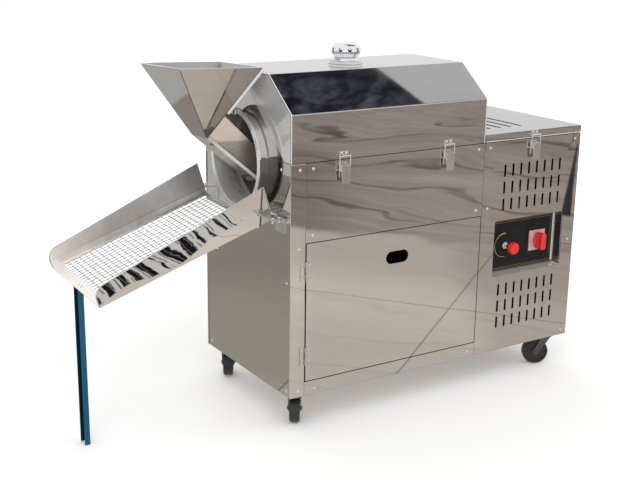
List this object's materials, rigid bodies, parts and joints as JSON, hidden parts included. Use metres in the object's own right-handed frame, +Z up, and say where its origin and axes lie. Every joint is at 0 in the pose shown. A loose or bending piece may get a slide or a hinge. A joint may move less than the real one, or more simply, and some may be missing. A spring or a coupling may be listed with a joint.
{
  "type": "gas drum nut roaster",
  "caption": "Castored stainless drum roaster for nuts: feed hopper, mouth ring, sloping mesh chute on a leg, hinged lid with flue, burner door and motor box with recessed controls.",
  "frame": {"origin": "middle of the overall box in plan, on the floor the castors and the leg stand on", "axes": "+X along the cabinet towards the motor box, -Y out of the front with the controls, +Z up"},
  "size_m": [1.1391, 0.406, 0.7623],
  "materials": {
    "bright_steel": "bright polished stainless sheet",
    "satin_steel": "satin stainless sheet with brushed grain",
    "wire": "woven steel wire",
    "chrome": "polished",
    "blue_paint": "glossy enamel",
    "red_plastic": "glossy moulded plastic",
    "black_plastic": "satin moulded plastic",
    "cast_iron": "rough casting",
    "brass": "turned",
    "motor_paint": "satin machine enamel",
    "rubber": "moulded",
    "polished_zinc": "bright plated",
    "zinc": "zinc plated"
  },
  "bodies": {
    "cabinet": {"base_pan": "satin_steel", "corner_posts": "satin_steel", "end_panel": "bright_steel", "front_panels": "satin_steel", "rear_wrap": "satin_steel", "bulkhead": "satin_steel", "motor_front_panel": "satin_steel", "mouth_ring": "bright_steel", "hopper": "bright_steel", "feed_trough": "bright_steel", "chute_tray": "bright_steel", "chute_mesh": "wire", "chute_brackets": "zinc", "leg": "blue_paint", "control_tray": "satin_steel", "dial_plate": "black_plastic", "electrical_bodies": "black_plastic", "bearing_unit": "cast_iron", "gear_motor": "motor_paint", "motor_shelf": "satin_steel", "roller_axles": "zinc", "burner_tubes": "cast_iron", "burner_supports": "satin_steel", "gas_manifold": "brass", "latch_bases": "zinc", "hinge_frames": "zinc", "castor_plates": "zinc", "fasteners": "zinc"},
    "lid": {"lid_shell": "satin_steel", "lid_ends": "satin_steel", "lid_fittings": "zinc", "flue_collar": "chrome"},
    "flue_cap": {"flue_cap": "chrome"},
    "cover": {"motor_cover": "bright_steel", "cover_fittings": "zinc"},
    "door": {"burner_door": "satin_steel", "door_hinge_leaves": "zinc"},
    "speed_knob": {"speed_knob": "red_plastic"},
    "switch_handle": {"switch_handle": "red_plastic"},
    "drum": {"drum_shell": "satin_steel", "drum_flights": "satin_steel", "drum_shaft": "zinc", "drum_gear": "zinc"},
    "motor_pinion": {"motor_pinion": "zinc"},
    "roller_front": {"roller_front": "rubber"},
    "roller_back": {"roller_back": "rubber"},
    "lever_left": {"lever_left": "polished_zinc"},
    "bail_left": {"bail_left": "polished_zinc"},
    "lever_right": {"lever_right": "polished_zinc"},
    "bail_right": {"bail_right": "polished_zinc"},
    "lever_motor": {"lever_motor": "polished_zinc"},
    "bail_motor": {"bail_motor": "polished_zinc"},
    "fork_front_left": {"fork_front_left": "zinc"},
    "wheel_front_left": {"wheel_front_left": "rubber"},
    "fork_front_right": {"fork_front_right": "zinc"},
    "wheel_front_right": {"wheel_front_right": "rubber"},
    "fork_back_left": {"fork_back_left": "zinc"},
    "wheel_back_left": {"wheel_back_left": "rubber"},
    "fork_back_right": {"fork_back_right": "zinc"},
    "wheel_back_right": {"wheel_back_right": "rubber"}
  },
  "joints": [
    {"name": "drum_spin", "type": "hinge", "parent": "cabinet", "child": "drum", "pos_m": [0.04856, -0.012, 0.542], "axis": [1, 0, 0], "continuous": true},
    {"name": "pinion_spin", "type": "hinge", "parent": "cabinet", "child": "motor_pinion", "pos_m": [0.31506, -0.012, 0.4945], "axis": [1, 0, 0], "continuous": true},
    {"name": "roller_front_spin", "type": "hinge", "parent": "cabinet", "child": "roller_front", "pos_m": [-0.16944, -0.08611, 0.45367], "axis": [1, 0, 0], "continuous": true},
    {"name": "roller_back_spin", "type": "hinge", "parent": "cabinet", "child": "roller_back", "pos_m": [-0.16944, 0.06211, 0.45367], "axis": [1, 0, 0], "continuous": true},
    {"name": "lid_hinge", "type": "hinge", "parent": "cabinet", "child": "lid", "pos_m": [0.04856, 0.1714, 0.5585], "axis": [-1, 0, 0], "range_deg": [0, 80]},
    {"name": "cover_hinge", "type": "hinge", "parent": "cabinet", "child": "cover", "pos_m": [0.42856, 0.1714, 0.5585], "axis": [-1, 0, 0], "range_deg": [0, 80]},
    {"name": "flue_cap_turn", "type": "hinge", "parent": "lid", "child": "flue_cap", "pos_m": [0.04856, -0.012, 0.74], "axis": [0, 0, 1], "range_deg": [0, 60]},
    {"name": "door_hinge", "type": "hinge", "parent": "cabinet", "child": "door", "pos_m": [-0.15524, -0.1954, 0.2535], "axis": [0, 0, -1], "range_deg": [0, 110]},
    {"name": "lever_left_swing", "type": "hinge", "parent": "cabinet", "child": "lever_left", "pos_m": [-0.07144, -0.1985, 0.546], "axis": [-1, 0, 0], "range_deg": [0, 95]},
    {"name": "lever_right_swing", "type": "hinge", "parent": "cabinet", "child": "lever_right", "pos_m": [0.18776, -0.1985, 0.546], "axis": [-1, 0, 0], "range_deg": [0, 95]},
    {"name": "lever_motor_swing", "type": "hinge", "parent": "cabinet", "child": "lever_motor", "pos_m": [0.42856, -0.1985, 0.546], "axis": [-1, 0, 0], "range_deg": [0, 95]},
    {"name": "bail_left_swing", "type": "hinge", "parent": "lever_left", "child": "bail_left", "pos_m": [-0.07144, -0.1985, 0.539], "axis": [-1, 0, 0], "range_deg": [-95, 0]},
    {"name": "bail_right_swing", "type": "hinge", "parent": "lever_right", "child": "bail_right", "pos_m": [0.18776, -0.1985, 0.539], "axis": [-1, 0, 0], "range_deg": [-95, 0]},
    {"name": "bail_motor_swing", "type": "hinge", "parent": "lever_motor", "child": "bail_motor", "pos_m": [0.42856, -0.1985, 0.539], "axis": [-1, 0, 0], "range_deg": [-95, 0]},
    {"name": "speed_turn", "type": "hinge", "parent": "cabinet", "child": "speed_knob", "pos_m": [0.38562, -0.192, 0.313], "axis": [0, -1, 0], "range_deg": [0, 270]},
    {"name": "switch_turn", "type": "hinge", "parent": "cabinet", "child": "switch_handle", "pos_m": [0.48177, -0.177, 0.313], "axis": [0, -1, 0], "range_deg": [-60, 60]},
    {"name": "castor_front_left_swivel", "type": "hinge", "parent": "cabinet", "child": "fork_front_left", "pos_m": [-0.15844, -0.159, 0.069], "axis": [0, 0, 1], "continuous": true},
    {"name": "castor_front_left_roll", "type": "hinge", "parent": "fork_front_left", "child": "wheel_front_left", "pos_m": [-0.14678, -0.14034, 0.03], "axis": [-0.848, 0.5299, 0], "continuous": true},
    {"name": "castor_front_right_swivel", "type": "hinge", "parent": "cabinet", "child": "fork_front_right", "pos_m": [0.53556, -0.159, 0.069], "axis": [0, 0, 1], "continuous": true},
    {"name": "castor_front_right_roll", "type": "hinge", "parent": "fork_front_right", "child": "wheel_front_right", "pos_m": [0.5165, -0.148, 0.03], "axis": [-0.5, -0.866, 0], "continuous": true},
    {"name": "castor_back_left_swivel", "type": "hinge", "parent": "cabinet", "child": "fork_back_left", "pos_m": [-0.15844, 0.135, 0.069], "axis": [0, 0, 1], "continuous": true},
    {"name": "castor_back_left_roll", "type": "hinge", "parent": "fork_back_left", "child": "wheel_back_left", "pos_m": [-0.14744, 0.15405, 0.03], "axis": [-0.866, 0.5, 0], "continuous": true},
    {"name": "castor_back_right_swivel", "type": "hinge", "parent": "cabinet", "child": "fork_back_right", "pos_m": [0.53556, 0.135, 0.069], "axis": [0, 0, 1], "continuous": true},
    {"name": "castor_back_right_roll", "type": "hinge", "parent": "fork_back_right", "child": "wheel_back_right", "pos_m": [0.51488, 0.12748, 0.03], "axis": [0.342, -0.9397, 0], "continuous": true}
  ],
  "couplings": [
    {"joint": "bail_left_swing", "follows": "lever_left_swing", "ratio": -1},
    {"joint": "bail_right_swing", "follows": "lever_right_swing", "ratio": -1},
    {"joint": "bail_motor_swing", "follows": "lever_motor_swing", "ratio": -1},
    {"joint": "pinion_spin", "follows": "drum_spin", "ratio": -1.375}
  ]
}
